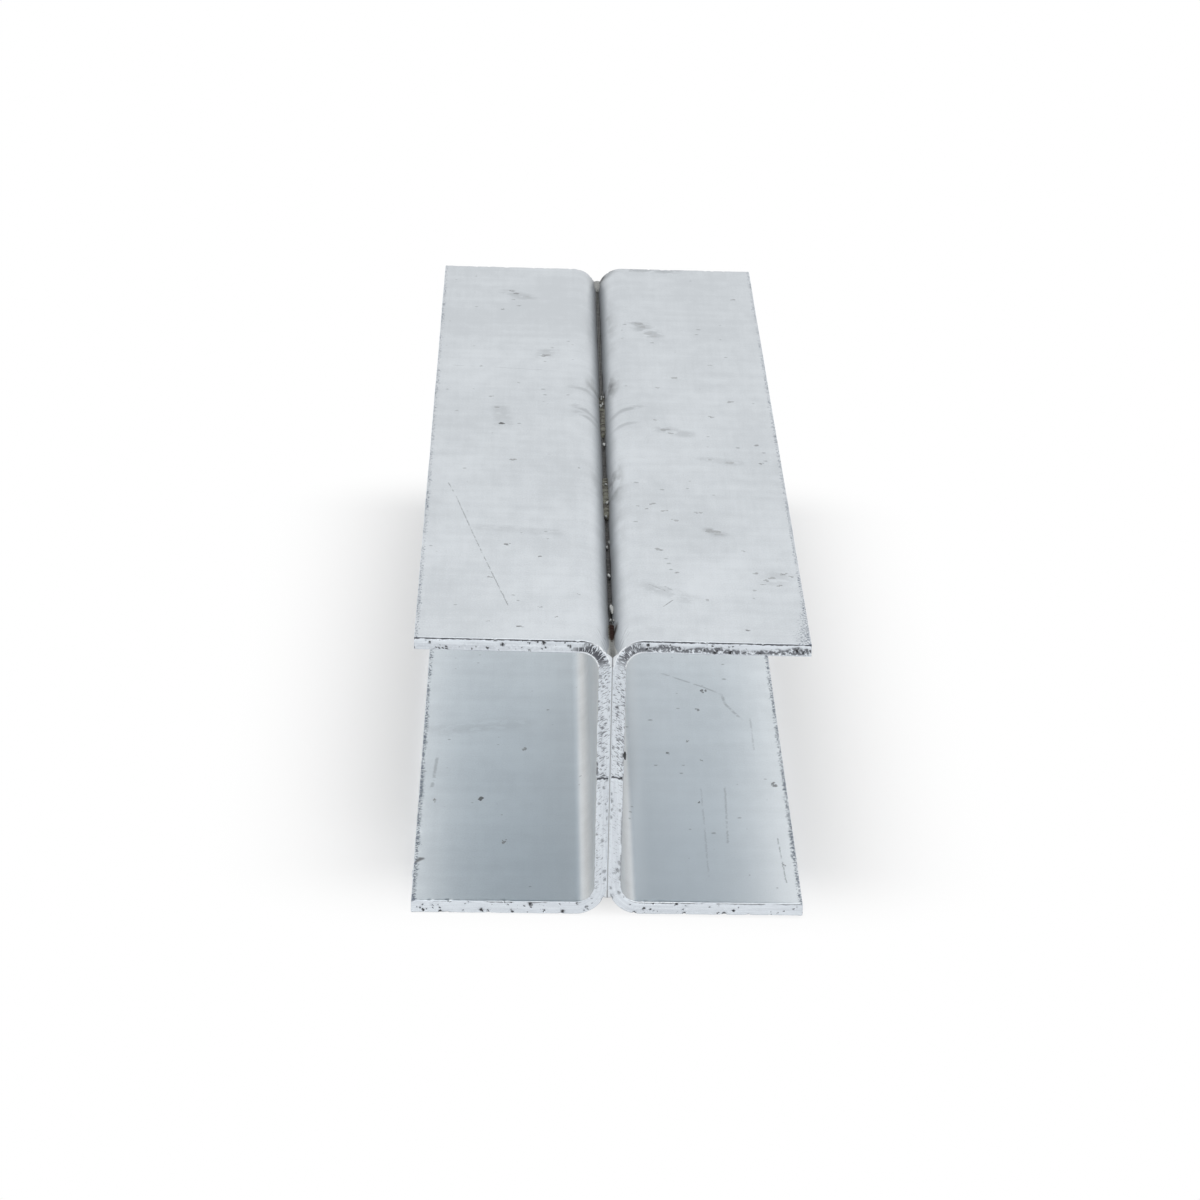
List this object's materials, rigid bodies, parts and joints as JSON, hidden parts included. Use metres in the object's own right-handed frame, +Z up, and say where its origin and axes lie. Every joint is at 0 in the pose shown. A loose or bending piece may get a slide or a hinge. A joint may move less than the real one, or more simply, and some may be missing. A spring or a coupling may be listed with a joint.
{
  "type": "galvanised h post",
  "caption": "H-section post of folded steel channels set back to back, stitch-welded along the grooves and hot-dip galvanised, with a slot on each side for sleepers or boards.",
  "frame": {"origin": "middle of the underside, midway along the post and in the plane between the two webs", "axes": "+X across the flanges to the right, +Y along the post away from the end seen in the picture, +Z up from the lower flanges to the upper ones"},
  "size_m": [0.1204, 0.5, 0.088],
  "materials": {
    "zinc_steel": "hot-dip galvanised, satin, faintly mottled",
    "weld_steel": "rough weld metal, thinly zinc-coated, rusty in places"
  },
  "bodies": {
    "root": {"left_channel": "zinc_steel", "right_channel": "zinc_steel", "top_stitch_weld_1": "weld_steel", "top_stitch_weld_2": "weld_steel", "top_stitch_weld_3": "weld_steel", "top_stitch_weld_4": "weld_steel", "bottom_stitch_weld_1": "weld_steel", "bottom_stitch_weld_2": "weld_steel", "bottom_stitch_weld_3": "weld_steel", "bottom_stitch_weld_4": "weld_steel"}
  },
  "joints": []
}
